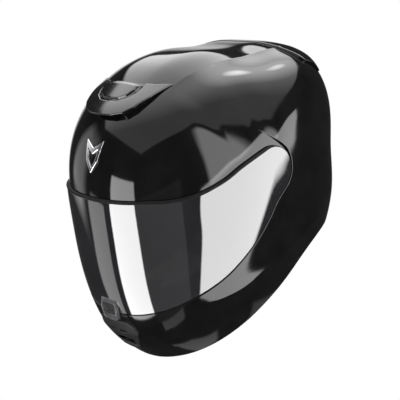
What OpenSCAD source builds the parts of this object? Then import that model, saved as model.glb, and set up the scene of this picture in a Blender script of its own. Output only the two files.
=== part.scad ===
// Full-face motorcycle helmet, standing on its lower edge.
// The front faces -Y, up is +Z and the wearer's left is +X. The helmet is symmetric about x = 0.
// Every skin is the same curved surface, moved in or out by a distance d from the shell's outside.

/* [Shell] */
// Half width of the shell at the visor pivots
half_w = 120; // [118:1:122]
// Height of the visor pivots above the table
pivot_z = 154; // [153:1:155]
// Thickness of the outer shell
shell_t = 4; // [3.5:0.5:4.5]
// How far the chin bar and the sides stand out to lie level with the visor
flush_lift = 3.2; // [3:0.1:3.4]

/* [Visor] */
// Thickness of the visor
lens_t = 2.2; // [2:0.1:2.2]
// Gap between the shell and the inside of the visor
lens_gap = 1; // [0.9:0.1:1]
// Radius of the visor's round end about its pivot
arm_r = 26; // [25:1:27]
// Angle that the visor opens by, in degrees
lift_angle = 56; // [50:1:58]

/* [Lining] */
// Thickness of the impact foam in the crown and sides
foam_t = 30; // [28:1:32]
// Thickness of the crown's comfort padding
pad_t = 8; // [6:1:9]
// Half the gap between the cheek pads
cheek_gap = 56; // [54:1:60]

/* [Vents] */
// Height of the top vent's cowl above the shell, at its front
cowl_h = 8; // [7:0.5:9]
// Travel of the top vent's slider
slider_travel = 6; // [4:1:6]
// Travel of the chin vent's shutter
shutter_travel = 7; // [5:1:7]

/* [Strap] */
// Width of the chin strap
strap_w = 22; // [20:1:24]
// Thickness of the chin strap
strap_t = 2.2; // [2:0.2:2.4]

/* [Hidden] */

// The centreline's distance from the pivot axis, as control points of a smooth closed curve:
// one every 22.5 degrees, from straight down, round the face and over the crown.
PROFILE = [203, 239, 249, 192, 155, 149, 145, 134, 126, 120, 118, 165, 157, 137, 161, 180];
// The height of the shell's lower edge, every 15 degrees from the chin back to the nape.
EDGE = [0, 0, -1, 11, 18, 29, 34, 31, 15, 4, 0];
EDGE_START = -15;
SQUARE_FRONT = 2.3;   // how square a section is: 2 is an ellipse
SQUARE_BELOW = 2.25;
SQUARE_BEHIND = 3.4;
COLUMNS = 56;
ROWS = 32;

pivot_y = 14.5;
tuck = 0.0007;
trim_h = 4;
trim_gap = 0.9;
plate_r = 26;
pocket_r = 27.2;
pocket_x = half_w - 4;
boss_r = 33;
boss_x = pocket_x - 7;
screw_r = 2;
pin_r = 7;
hub_r = 23;
fit_gap = 0.06;        // between a pin and its bore
skin_gap = 0.8;        // between the lining's layers
seat_gap = 0.15;       // under a piece that is fixed on the shell
inner_d = -shell_t - skin_gap;
foam_d = inner_d - foam_t;
foam_front = 30;       // how far forward the side foam reaches
foam_low = 47.3;       // the lowest point of the side foam
chin_foam_t = 20;
cheek_low = 27;
neck_roll_t = 22;
curtain_z = 10;
curtain_t = 2.2;
curtain_r = 74;        // the opening for the neck
guard_d = -12;
guard_t = 2.6;
seal_in = 0.12;
seal_out = 0.75;
badge_t = 1.45;
cowl_t = 1.4;          // the cowl's height where it lies flat on the shell
slot_x = 13;           // the slots in the cowl's mouth
vent_size = 7;         // the square holes under the slider
vent_y = -76;
chin_hole = [34, 14];
chin_hole_z = 34;
back_hole = [50, 8];
back_hole_z = 192;
slider_in = 2.8;
slider_out = 6.4;
housing_t = 2.45;
mesh_step = 3.4;
shutter = [30, 1.6, 14];
shutter_y = -173.9;
shutter_z = 36;
shutter_tilt = 11.5;
spoiler_half_w = 92;
spoiler_rise = 3;
outlet = [56, 9];
outlet_z = 199;
outlet_step = 4;
tab_t = 5.9;
hub_gap = 0.3;         // between a pivot plate and the hub that turns on it
hub_t = 0.8;
plate_t = 2.1;
hub_x = pocket_x + plate_t + hub_gap;
lever = [0.9, 7, 9.2];
far = 400;             // longer than anything it cuts

// ---- Curves ----
function mix4(a, b, c, d, f) =
    (a * pow(1 - f, 3) + b * (3 * f * f * f - 6 * f * f + 4)
    + c * (-3 * f * f * f + 3 * f * f + 3 * f + 1) + d * f * f * f) / 6;
function closed_curve(list, t) =
    let (n = len(list), i = floor(t), f = t - i)
    mix4(list[(i - 1 + n) % n], list[i % n], list[(i + 1) % n], list[(i + 2) % n], f);
function open_curve(list, t) =
    let (i = max(1, min(len(list) - 3, floor(t))), f = t - i)
    mix4(list[i - 1], list[i], list[i + 1], list[i + 2], f);
function ease(v, a, b) = let (t = max(0, min(1, (v - a) / (b - a)))) t * t * (3 - 2 * t);
function through(points, steps) = [
    for (i = [0 : len(points) - 2], k = [0 : steps - 1])
        let (p = points[max(0, i - 1)], q = points[i], r = points[i + 1],
            s = points[min(len(points) - 1, i + 2)], t = k / steps)
        (2 * q + (r - p) * t + (2 * p - 5 * q + 4 * r - s) * t * t
        + (3 * q - p - 3 * r + s) * t * t * t) / 2];

// ---- The surface ----
// An angle of 0 looks forward, 90 up, 180 back and 270 down, seen from the left side.
function rho(angle) = closed_curve(PROFILE, (angle + 450) % 360 / 22.5);
function squareness(angle) = SQUARE_FRONT
    + (SQUARE_BELOW - SQUARE_FRONT) * pow((1 - sin(angle)) / 2, 4)
    + (SQUARE_BEHIND - SQUARE_FRONT) * pow((1 - cos(angle)) / 2, 2);
function raw_point(angle, side, d) =
    let (n = squareness(angle), c = abs(cos(side)), s = abs(sin(side)),
        k = pow(pow(c, n) + pow(s, n), -1 / n), r = (rho(angle) + d) * c * k)
    [sign(side) * (half_w + d) * s * k, -r * cos(angle), pivot_z + r * sin(angle)];
// The crown's central spine and shoulders, the chin's tucked lower edge and the line along the jaw.
function relief(p) =
    let (x = abs(p.x), y = p.y, z = p.z,
        crown = ease(z, 180, 225) * ease(y, -62, -8) * (1 - ease(y, 100, 145)),
        spine = crown * (3 * (1 - ease(x, 22, 60)) + 2.5 * exp(-pow((x - 88) / 20, 2))),
        crease_z = 52 - 0.5 * max(0, y + 164),
        below = max(0, crease_z - z) * (1 - ease(y, -90, -60)),
        jaw_z = 61 + 0.16 * max(0, -y - 84),
        jaw = ease(y, -150, -95) * (1 - ease(y, 20, 70)) * ease(x, 60, 95)
            * 2.6 * exp(-sqrt(pow(z - jaw_z, 2) + 9) / 14))
    [p.x * (0.004 * spine - tuck * below) + sign(p.x) * jaw, -tuck * below * y + spine * y / 140,
        spine * (z - pivot_z) / 120];
function skin_point(angle, side, d) = raw_point(angle, side, d) + relief(raw_point(angle, side, 0));

module skin(d, columns = COLUMNS, rows = ROWS, lift = function (angle) 0) {
    points = [
        skin_point(0, -90, d + lift(0)),
        for (j = [1 : rows - 1], i = [0 : columns - 1])
            let (angle = i * 360 / columns) skin_point(angle, j * 180 / rows - 90, d + lift(angle)),
        skin_point(0, 90, d + lift(0))];
    last = len(points) - 1;
    faces = [
        for (i = [0 : columns - 1])
            let (k = (i + 1) % columns)
            each [[0, 1 + k, 1 + i], [last, last - columns + i, last - columns + k]],
        for (j = [0 : rows - 3], i = [0 : columns - 1])
            let (a = 1 + j * columns + i, b = a + columns, k = (i + 1) % columns - i)
            each [[a, a + k, b + k], [a, b + k, b]]];
    polyhedron(points, faces);
}
// A flat outline drawn in (forward, up), pulled through the helmet from side to side.
module side_cut(x0 = -far / 2, x1 = far / 2) {
    translate([x1, 0, 0])
        rotate([90, 0, -90])
            linear_extrude(x1 - x0)
                children();
}
// A flat outline drawn in (across, up), pulled from the front to y = y1.
module front_cut(y0 = -far / 2, y1 = -80) {
    translate([0, y1, 0])
        rotate([90, 0, 0])
            linear_extrude(y1 - y0)
                children();
}
// A cylinder along X on the pivot axis, between x0 and x1 on the left side.
module pivot_disc(r, x0, x1, fn = 72) {
    translate([x0, 0, pivot_z])
        rotate([0, 90, 0])
            cylinder(h = x1 - x0, r = r, $fn = fn);
}
// The modules are drawn with the pivot axis at y = 0; this puts them in the helmet's own frame.
module placed() {
    translate([0, pivot_y, 0])
        children();
}
// Joins and cuts curved skins as one closed mesh.
module meshed() {
    placed()
        resize([0, 0, 0])
            children();
}
module on_both_sides() {
    children();
    mirror([1, 0, 0])
        children();
}

// ---- Outlines, in (forward, height above the pivot) ----
UPPER = [[215, 72], [165, 52], [143, 45], [127, 39.5], [112, 33.5], [94, 29], [76, 27],
    [56, 26.6], [36, 28], [18, 27.4], [0, 26]];
LOWER = [[-6, -25.4], [4, -27], [14, -32], [27, -40.5], [42, -48], [58, -55], [76, -61], [98, -67],
    [120, -70.5], [145, -73.5], [182, -78], [215, -82]];
PORT = [[215, 42], [160, 34], [126, 25], [112, 19.5], [94, 15.5], [77, 14], [60, 13], [47, 7], [39, -6],
    [41, -20], [52, -33], [74, -45], [98, -53], [117, -56], [140, -59], [166, -61], [215, -64]];
module visor_outline() {
    translate([0, pivot_z]) {
        polygon(concat(through(UPPER, 4), [[0, arm_r], [-8, 0]], through(LOWER, 4)));
        circle(arm_r, $fn = 72);
    }
}
module port_outline() {
    translate([0, pivot_z])
        polygon(through(PORT, 4));
}
// All that the visor's outline passes over as it opens.
module visor_sweep() {
    offset(delta = 0.8)
        translate([0, pivot_z])
            for (a = [0 : 4 : lift_angle + 3])
                rotate(a)
                    translate([0, -pivot_z])
                        visor_outline();
}
// The shell's lower edge: its height at an angle, and how far it lies from the pivot axis there.
function edge_z(angle) = open_curve(EDGE, (EDGE_START - angle) / 15);
function edge_reach(angle) = (edge_z(angle) - pivot_z) / sin(angle);
function find_end(a, b, d, n = 24) =
    let (m = (a + b) / 2)
    n == 0 ? m : edge_reach(m) > rho(m) + d ? find_end(m, b, d, n - 1) : find_end(a, m, d, n - 1);
function edge_point(u, d) =
    let (front = find_end(-30, -70, d), back = find_end(-165, -110, d),
        angle = front + (back - front) * (1 - cos(180 * u)) / 2,
        s = min(1, edge_reach(angle) / (rho(angle) + d)), n = squareness(angle),
        x = (half_w + d) * pow(max(0, 1 - pow(s, n)), 1 / n),
        y = -edge_reach(angle) * cos(angle), z = edge_z(angle))
    [x, y, z] + relief([x, y, z]);
module below_edge(up) {
    side_cut()
        polygon(concat(
            [for (angle = [-32 : -2.9 : -148])
                [edge_reach(angle) * cos(angle), edge_z(angle) + up]],
            [[-far / 2, -far], [far / 2, -far]]));
}

// ---- The shell and what is fixed to it ----
module outer_shell() {
    color([0.02, 0.02, 0.022])
    meshed()
    difference() {
        union() {
            skin(0);
            difference() {
                skin(0, lift = function (angle) flush_lift * flush(angle));
                side_cut()
                    visor_sweep();
            }
        }
        difference() {
            skin(-shell_t, 48, 26, function (angle) flush_lift * inner_flush(angle));
            on_both_sides()
                pivot_disc(boss_r, boss_x, half_w, 48);
        }
        below_edge(trim_h);
        side_cut()
            port_outline();
        vent_ports();
        on_both_sides() {
            pivot_disc(pocket_r, pocket_x, half_w + 10);
            pivot_disc(screw_r, boss_x - 1, pocket_x + 1);
        }
    }
}
// 1 where the shell lies level with the visor, 0 where the visor passes over it.
function flush(angle) = let (a = (angle + 360) % 360)
    a < 90 ? 1 - ease(a, 0, 15) : a < 270 ? ease(a, 95, 140) : 1;
// The same for the inside of the shell, which follows well away from the visor.
function inner_flush(angle) = let (a = (angle + 360) % 360)
    a < 90 ? 0 : a < 270 ? ease(a, 125, 165) : 1 - ease(a, 290, 330);
module vent_ports() {
    for (x = [-11, 0, 11])
        translate([x, vent_y, 250])
            cube([vent_size, vent_size, 60], center = true);
    front_cut()
        translate([0, chin_hole_z])
            square(chin_hole, center = true);
    translate([0, 150, back_hole_z])
        cube([back_hole.x, 60, back_hole.y], center = true);
}
// Material between two depths.
module layer(outside, inside, columns = 40, rows = 24) {
    difference() {
        skin(outside, columns, rows);
        skin(inside, columns, rows);
    }
}
module impact_liner() {
    color([0.12, 0.12, 0.13])
    meshed()
    difference() {
        intersection() {
            layer(inner_d, foam_d, 32, 16);
            side_cut()
                difference() {
                    polygon([[-far / 2, foam_low], [foam_front, foam_low], [foam_front, 150], [far / 2, 150],
                        [far / 2, far], [-far / 2, far]]);
                    offset(delta = 3)
                        port_outline();
                }
        }
        on_both_sides()
            pivot_disc(boss_r + 1, boss_x - 0.6, half_w, 48);
    }
}
module chin_liner() {
    color([0.12, 0.12, 0.13])
    meshed()
    difference() {
        intersection() {
            layer(inner_d - 1, inner_d - 1 - chin_foam_t, 40, 22);
            side_cut()
                difference() {
                    polygon([[42, 22], [42, 92], [60, 96], [120, 86], [150, 82], [far / 2, 82], [far / 2, 16],
                        [90, 16]]);
                    offset(delta = 4)
                        port_outline();
                }
        }
        front_cut()
            translate([0, chin_hole_z + 6])
                square([chin_hole.x + 2, 27], center = true);
    }
}
module crown_pad() {
    color([0.16, 0.16, 0.17])
    meshed()
    intersection() {
        layer(foam_d - skin_gap, foam_d - skin_gap - pad_t, 32, 16);
        side_cut()
            polygon([[-far / 2, 128], [20, 170], [60, 182], [far / 2, 205], [far / 2, far], [-far / 2, far]]);
    }
}
module cheek_pad_left() {
    color([0.14, 0.14, 0.15])
    meshed()
    intersection() {
        skin(foam_d - skin_gap, 32, 16);
        side_cut(cheek_gap, far / 2)
            polygon([[-34, 58], [-27, 43], [-12, cheek_low + 2], [0, cheek_low], [60, cheek_low],
                [84, cheek_low + 5], [98, 42], [102, 62], [96, 82], [78, 90], [58, 98], [34, 118], [20, 130],
                [-12, 130], [-34, 112]]);
    }
}
module cheek_pad_right() {
    mirror([1, 0, 0])
        cheek_pad_left();
}
module neck_roll() {
    color([0.1, 0.1, 0.11])
    meshed()
    intersection() {
        layer(inner_d - 2, inner_d - 2 - neck_roll_t, 40, 22);
        side_cut()
            polygon([[-far / 2, 0], [-14, 0], [-14, 26], [-42, 46], [-far / 2, 46]]);
    }
}
module chin_curtain() {
    color([0.09, 0.09, 0.1])
    meshed()
    intersection() {
        difference() {
            skin(inner_d - 0.4, 40, 22);
            translate([0, -40, 0])
                cylinder(h = far, r = curtain_r, center = true, $fn = 64);
        }
        side_cut()
            translate([86, curtain_z])
                square([far / 2 - 86, curtain_t]);
    }
}
module breath_guard() {
    color([0.06, 0.06, 0.06])
    meshed()
    intersection() {
        layer(guard_d, guard_d - guard_t, 48, 28);
        front_cut()
            polygon([[-46, 87], [46, 87], [40, 97], [22, 103], [10, 110], [-10, 110], [-22, 103], [-40, 97]]);
    }
}
module eyeport_seal() {
    color([0.03, 0.03, 0.03])
    meshed()
    intersection() {
        layer(seal_out, seal_in, COLUMNS, ROWS);
        side_cut()
            difference() {
                for (up = [0, 2.4])
                    translate([0, up])
                        visor_outline();
                offset(delta = -1.2)
                    port_outline();
                translate([0, pivot_z])
                    circle(pocket_r + 1, $fn = 48);
                translate([-far, 0])
                    square([far + 10, far]);
            }
    }
}
module edge_trim() {
    count = 36;
    section = [[-2.9, 0.9], [-2, 0], [2, 0], [2.9, 0.9], [2.9, trim_h - trim_gap], [-2.9, trim_h - trim_gap]];
    left = [for (i = [0 : count]) edge_point(i / count, -shell_t / 2 + flush_lift / 2)];
    path = concat(left, [for (i = [count - 1 : -1 : 1]) [-left[i].x, left[i].y, left[i].z]]);
    total = len(path);
    sides = len(section);
    points = [
        for (i = [0 : total - 1])
            let (t = path[(i + 1) % total] - path[(i - 1 + total) % total],
                out = [-t.y, t.x, 0] / norm([t.x, t.y]))
            for (s = section)
                path[i] + out * s.x + [0, 0, s.y]];
    faces = [
        for (i = [0 : total - 1], k = [0 : sides - 1])
            let (a = i * sides + k, b = i * sides + (k + 1) % sides,
                c = (i + 1) % total * sides + k, e = (i + 1) % total * sides + (k + 1) % sides)
            each [[a, e, b], [a, c, e]]];
    color([0.2, 0.2, 0.21])
    placed()
        polyhedron(points, faces);
}
module brow_badge() {
    color([0.75, 0.75, 0.77])
    meshed()
    intersection() {
        layer(seat_gap + badge_t, seat_gap, COLUMNS, ROWS);
        front_cut()
            difference() {
                polygon([[0, 224], [9, 234], [14, 251], [0, 245], [-14, 251], [-9, 234]]);
                polygon([[0, 229], [5, 235], [8, 244], [0, 240], [-8, 244], [-5, 235]]);
            }
    }
}

// ---- Vents ----
COWL = [[0, -89], [16, -88], [30, -83], [39, -74], [48, -56], [57, -30], [41, -40], [22, -45], [0, -46]];
SLIDER = [[0, -73], [13, -72], [23, -66], [29, -57], [30, -47], [0, -46]];
module both_halves(points) {
    for (side = [0, 1])
        mirror([side, 0])
            polygon(points);
}
module plan(points) {
    linear_extrude(far)
        both_halves(points);
}
function cowl_lift(angle) = let (a = (angle + 360) % 360)
    a > 180 ? 0 : (cowl_h - cowl_t) * ease(a, 78, 52);
module top_vent_cowl() {
    color([0.03, 0.03, 0.032])
    meshed()
    difference() {
        intersection() {
            difference() {
                skin(cowl_t, COLUMNS, ROWS, function (angle) cowl_lift(angle));
                skin(seat_gap);
            }
            plan(COWL);
        }
        difference() {
            skin(-0.4, lift = function (angle) cowl_lift(angle));
            skin(0.1);
            translate([0, -40, 0])
                cube([far, 88, 2 * far], center = true);
            for (x = [-slot_x, slot_x])
                translate([x, -90, 0])
                    cube([1.6, 60, 2 * far], center = true);
        }
        intersection() {
            difference() {
                skin(20);
                skin(1.5);
            }
            linear_extrude(far)
                offset(delta = 0.6)
                    for (move = [0, slider_travel])
                        translate([0, move])
                            both_halves(SLIDER);
        }
    }
}
module top_vent_slider() {
    color([0.04, 0.04, 0.042])
    meshed()
    intersection() {
        layer(slider_out, slider_in, COLUMNS, ROWS);
        plan(SLIDER);
    }
}
CHIN_VENT = [[0, 66], [22, 66], [28, 61], [31, 52], [23, 36], [14, 21], [0, 20]];
module chin_vent_housing() {
    color([0.05, 0.05, 0.05])
    meshed()
    difference() {
        intersection() {
            layer(flush_lift + seat_gap + housing_t, flush_lift + seat_gap, COLUMNS, ROWS);
            front_cut()
                both_halves(CHIN_VENT);
        }
        front_cut()
            translate([0, chin_hole_z])
                square(chin_hole - [2, 2], center = true);
        front_cut()
            for (x = [-9, 9])
                translate([x, 51])
                    square([9, 2.6], center = true);
    }
}
module chin_vent_mesh() {
    color([0.1, 0.1, 0.1])
    meshed()
    intersection() {
        layer(-shell_t - 0.4 + 3, -shell_t + 1.6, COLUMNS, ROWS);
        front_cut()
            difference() {
                translate([0, chin_hole_z])
                    square(chin_hole - [1, 1], center = true);
                for (i = [-4 : 4])
                    translate([i * mesh_step, chin_hole_z])
                        square([mesh_step - 1.2, 10], center = true);
            }
    }
}
module chin_vent_shutter() {
    color([0.05, 0.05, 0.05])
    placed()
    translate([0, shutter_y, shutter_z])
        rotate([shutter_tilt, 0, 0]) {
            cube(shutter, center = true);
            translate([0, shutter.y, -3])
                cube([12, 3, 2.4], center = true);
        }
}
module rear_spoiler() {
    color([0.02, 0.02, 0.022])
    meshed()
    difference() {
        intersection() {
            difference() {
                skin(0.4, lift = function (angle) spoiler_lift(angle));
                skin(flush_lift + seat_gap);
            }
            side_cut(-spoiler_half_w, spoiler_half_w)
                polygon([[-120, 205], [-120, 250], [-far / 2, 250], [-far / 2, 190], [-140, 190]]);
        }
        translate([0, 170, outlet_z])
            cube([outlet.x, 80, outlet.y], center = true);
    }
}
function spoiler_lift(angle) = let (a = (angle + 360) % 360)
    flush_lift + spoiler_rise * ease(a, 138, 156) * (1 - ease(a, 157, 172));
module rear_vent_mesh() {
    color([0.1, 0.1, 0.1])
    placed()
    translate([0, 158, outlet_z])
        difference() {
            cube([outlet.x - 1, 1.6, outlet.y - 1], center = true);
            for (x = [-24 : outlet_step : 24])
                translate([x, 0, 0])
                    cube([outlet_step - 1.6, outlet_step, 5], center = true);
        }
}

// ---- The visor and its pivots ----
module visor() {
    color([0.1, 0.1, 0.11, 0.8])
    meshed()
    intersection() {
        layer(lens_gap + lens_t, lens_gap, COLUMNS, ROWS);
        side_cut()
            visor_outline();
    }
}
module visor_lift_tab() {
    color([0.5, 0.5, 0.52])
    meshed()
    intersection() {
        layer(lens_gap + lens_t + 0.1 + tab_t, lens_gap + lens_t + 0.1, COLUMNS, ROWS);
        front_cut()
            polygon([[-12, 91], [12, 91], [14, 84], [11, 69], [-11, 69], [-14, 84]]);
    }
}
module visor_hub_left() {
    color([0.15, 0.15, 0.15])
    placed()
    difference() {
        union() {
            pivot_disc(hub_r, hub_x, hub_x + hub_t);
            pivot_disc(12, hub_x, hub_x + plate_t);
        }
        pivot_disc(pin_r + fit_gap, pocket_x, pocket_x + 6);
    }
}
module visor_hub_right() {
    mirror([1, 0, 0])
        visor_hub_left();
}
module pivot_plate_left() {
    color([0.2, 0.2, 0.2])
    placed()
    difference() {
        union() {
            pivot_disc(plate_r, pocket_x + 0.05, pocket_x + plate_t);
            pivot_disc(pin_r, pocket_x + 0.05, pocket_x + 4.4);
        }
        pivot_disc(screw_r, pocket_x - 1, pocket_x + 6);
        pivot_disc(4.4, pocket_x + 3, pocket_x + 6);
        translate([pocket_x + 1, -6, pivot_z - 22.5])
            cube([4, 12, 10]);
    }
}
module pivot_plate_right() {
    mirror([1, 0, 0])
        pivot_plate_left();
}
module pivot_screws() {
    color([0.6, 0.6, 0.62])
    placed()
    on_both_sides()
        difference() {
            union() {
                pivot_disc(screw_r - 0.02, boss_x, pocket_x + 3.2);
                pivot_disc(4.3, pocket_x + 3.05, pocket_x + 4.3);
            }
            pivot_disc(1.5, pocket_x + 3.5, pocket_x + 6, 6);
        }
}
module release_lever_left() {
    color([0.7, 0.1, 0.08])
    placed()
    translate([pocket_x + 1.1, -5.8, pivot_z - 22.1])
        cube(lever);
}
module release_lever_right() {
    mirror([1, 0, 0])
        release_lever_left();
}

// ---- The chin strap and its buckle ----
strap_y = -12;
pin_x = 16;
pin_z = 12.5;
buckle_pin_r = 1.5;
STRAP = [[101.5, 39], [96, 30], [87, 21], [72, 14.5]];
STRAP_LEFT_END = [[54, 11.4], [44, 10.8], [36, 10.8]];
STRAP_RIGHT_END = [[54, 12.8], [32, 12.6], [12, 12.6]];
function thick_line(points, t) =
    let (n = len(points),
        sideways = [for (i = [0 : n - 1])
            let (v = points[min(n - 1, i + 1)] - points[max(0, i - 1)]) [-v.y, v.x] / norm(v)])
    concat([for (i = [0 : n - 1]) points[i] + sideways[i] * t / 2],
        [for (i = [n - 1 : -1 : 0]) points[i] - sideways[i] * t / 2]);
module webbing(points) {
    translate([0, pivot_y + strap_y + strap_w / 2, 0])
        rotate([90, 0, 0])
            linear_extrude(strap_w)
                polygon(thick_line(concat(through(points, 3), [points[len(points) - 1]]), strap_t));
}
module strap_left() {
    color([0.05, 0.05, 0.05])
    webbing(concat(STRAP, STRAP_LEFT_END));
}
module strap_right() {
    color([0.05, 0.05, 0.05])
    mirror([1, 0, 0])
    webbing(concat(STRAP, STRAP_RIGHT_END));
}
module strap_anchors() {
    color([0.55, 0.55, 0.57])
    placed()
    on_both_sides()
        translate([102.5, strap_y, 42.5])
            rotate([0, -18, 0])
                cube([2, 18, 5], center = true);
}
module buckle_base() {
    color([0.1, 0.1, 0.1])
    placed()
    translate([0, strap_y, 0])
        difference() {
            union() {
                translate([25, 0, 8.4])
                    cube([46, 25, 2], center = true);
                for (side = [-1, 1])
                    translate([pin_x, side * 11.6, 12])
                        cube([16, 2, 6], center = true);
            }
            translate([pin_x, 0, pin_z])
                rotate([90, 0, 0])
                    cylinder(h = 40, r = buckle_pin_r + fit_gap, center = true, $fn = 36);
        }
}
module buckle_pin() {
    color([0.6, 0.6, 0.62])
    placed()
    translate([pin_x, strap_y, pin_z])
        rotate([90, 0, 0])
            cylinder(h = 25, r = buckle_pin_r, center = true, $fn = 36);
}
module buckle_lever() {
    color([0.7, 0.08, 0.06])
    placed()
    translate([pin_x, strap_y, pin_z])
        difference() {
            union() {
                rotate([90, 0, 0])
                    cylinder(h = 20, r = 2.8, center = true, $fn = 36);
                translate([8, 0, 1.5])
                    cube([20, 20, 2], center = true);
            }
            rotate([90, 0, 0])
                cylinder(h = 30, r = buckle_pin_r + fit_gap, center = true, $fn = 36);
        }
}
module buckle_tongue() {
    color([0.08, 0.08, 0.08])
    placed()
    translate([-22, strap_y - 9, 9.6])
        cube([30, 18, 1.6]);
}

outer_shell();
impact_liner();
chin_liner();
crown_pad();
cheek_pad_left();
cheek_pad_right();
neck_roll();
chin_curtain();
breath_guard();
eyeport_seal();
edge_trim();
brow_badge();
top_vent_cowl();
top_vent_slider();
chin_vent_housing();
chin_vent_mesh();
chin_vent_shutter();
rear_spoiler();
rear_vent_mesh();
visor();
visor_lift_tab();
visor_hub_left();
visor_hub_right();
pivot_plate_left();
pivot_plate_right();
pivot_screws();
release_lever_left();
release_lever_right();
strap_left();
strap_right();
strap_anchors();
buckle_base();
buckle_lever();
buckle_pin();
buckle_tongue();
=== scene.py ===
"""The looks of a full-face motorcycle helmet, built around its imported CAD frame.

Every curved piece is cut from one formula, the same as the CAD model's, in millimetres about the visor's
pivot axis. A direction w is a unit vector (left, forward, up), and surface(w, d) is the point that lies d
outside the shell's recessed skin in that direction. A field is a function of w, negative inside a shape.
"""
import math

import bmesh
import bpy
import numpy as np
from mathutils import Matrix, Vector


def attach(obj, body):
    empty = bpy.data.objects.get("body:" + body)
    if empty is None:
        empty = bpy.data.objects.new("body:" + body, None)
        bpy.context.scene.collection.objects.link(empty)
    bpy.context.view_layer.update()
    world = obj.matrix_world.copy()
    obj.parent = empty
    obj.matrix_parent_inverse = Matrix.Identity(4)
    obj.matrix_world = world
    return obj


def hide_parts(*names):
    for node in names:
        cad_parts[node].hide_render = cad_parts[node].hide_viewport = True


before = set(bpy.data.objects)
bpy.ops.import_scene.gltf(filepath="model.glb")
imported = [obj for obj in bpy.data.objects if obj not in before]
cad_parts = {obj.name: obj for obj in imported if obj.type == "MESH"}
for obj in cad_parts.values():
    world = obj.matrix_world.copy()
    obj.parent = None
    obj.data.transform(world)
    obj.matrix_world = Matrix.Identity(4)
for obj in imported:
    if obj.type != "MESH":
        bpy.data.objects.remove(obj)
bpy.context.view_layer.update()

MM = 0.001
HALF_W, PIVOT_Y, PIVOT_Z = 120.0, 14.5, 154.0
# FLUSH is how far the shell rises from its recess to lie level with the visor. The other depths follow it.
SHELL_T, FLUSH, TRIM_H = 4.0, 3.2, 4.0
LENS_IN, LENS_OUT = 1.0, 3.2
FOAM_OUT, FOAM_IN = -4.8, -34.8
POCKET_R = 27.2
CROWN_RISE, SHOULDER_RISE, SHOULDER_X, CREASE_DEPTH = 3, 2.5, 88, 2.4
JAW_RISE, JAW_WIDTH = 2.6, 14
# B-spline controls: the skin's distance from the pivot, every 22.5 degrees from straight down through the
# front, and the lower edge's height, every 15 degrees from the front to the back.
PROFILE = np.array([203, 239, 249, 192, 155, 149, 145, 134, 126, 120, 118, 165, 157, 137, 161, 180.0])
EDGE = np.array([0, 0, -1, 11, 18, 29, 34, 31, 15, 4, 0.0])


# ---- The surface ----
def bspline(a, b, c, d, f):
    inner = b * (3 * f**3 - 6 * f**2 + 4) + c * (-3 * f**3 + 3 * f**2 + 3 * f + 1)
    return (a * (1 - f) ** 3 + inner + d * f**3) / 6


def rho(angle):
    """The skin's distance from the pivot axis in the middle plane: 0 degrees is forward, 90 is up."""
    t = (angle + 450) % 360 / 22.5
    i = np.floor(t).astype(int)
    return bspline(*(PROFILE[(i + k) % len(PROFILE)] for k in (-1, 0, 1, 2)), t - i)


def edge_z(angle):
    t = (-15 - np.asarray(angle, float)) / 15
    i = np.clip(np.floor(t).astype(int), 1, len(EDGE) - 3)
    return bspline(*(EDGE[i + k] for k in (-1, 0, 1, 2)), t - i)


def squareness(angle):
    """How square the shell's cross-section is at an angle: 2 is an ellipse."""
    a = np.radians(angle)
    return 2.3 + (2.25 - 2.3) * ((1 - np.sin(a)) / 2) ** 4 + (3.4 - 2.3) * ((1 - np.cos(a)) / 2) ** 2


def ease(v, a, b):
    t = np.clip((v - a) / (b - a), 0, 1)
    return t * t * (3 - 2 * t)


def crown_line(y):
    """How far from the centreline the crease along each side of the crown lies."""
    return 57 + 6 * ease(y, -30, 20) - 6 * ease(y, 40, 90)


def jaw_line(y):
    return 61 + 0.16 * np.maximum(0, -y - 84)


def relief(p):
    """What the raised crown, the tucked lower edge and the jaw crease add to a point of the plain skin."""
    x, y, z = abs(p[:, 0]), p[:, 1], p[:, 2]
    crown = ease(z, 180, 225) * ease(y, -62, -8) * (1 - ease(y, 100, 145))
    spine = crown * CROWN_RISE * (1 - ease(x, 22, 60))
    spine += crown * SHOULDER_RISE * np.exp(-(((x - SHOULDER_X) / 20) ** 2))
    spine -= crown * ease(y, -50, -30) * CREASE_DEPTH * (1 - np.exp(-np.maximum(0, x - crown_line(y)) / 9))
    crease_z = 52 - 0.5 * np.maximum(0, y + 164)
    tuck = 0.0007 * np.maximum(0, crease_z - z) * (1 - ease(y, -90, -60))
    from_crease = np.sqrt((z - jaw_line(y)) ** 2 + 2)
    jaw = ease(y, -150, -95) * (1 - ease(y, 20, 70)) * ease(x, 60, 95)
    jaw *= JAW_RISE * np.exp(-from_crease / JAW_WIDTH)
    return np.stack([p[:, 0] * (0.004 * spine - tuck) + np.sign(p[:, 0]) * jaw,
                     -tuck * y + spine * y / 140, spine * (z - PIVOT_Z) / 120], 1)


def angle_of(w):
    """The angle about the pivot axis, in degrees: 0 is forward, 90 is up."""
    return np.degrees(np.arctan2(w[:, 2], w[:, 1]))


def raw(w, d):
    """The plain skin at depth d, before its relief."""
    angle = angle_of(w)
    n = squareness(angle)
    k = (np.hypot(w[:, 1], w[:, 2]) ** n + abs(w[:, 0]) ** n) ** (-1 / n)
    r = (rho(angle) + d) * k
    return np.stack([(HALF_W + d) * k * w[:, 0], -r * w[:, 1], PIVOT_Z + r * w[:, 2]], 1)


def surface(w, d):
    return raw(w, d) + relief(raw(w, 0.0))


def unit(v):
    return v / np.linalg.norm(v, axis=-1, keepdims=True)


def direction(angle, side):
    """The unit vector at an angle about the pivot axis and a turn to the side, in degrees."""
    a, s = np.radians(angle), np.radians(side)
    return np.stack(np.broadcast_arrays(np.sin(s), np.cos(s) * np.cos(a), np.cos(s) * np.sin(a)), -1)


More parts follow.
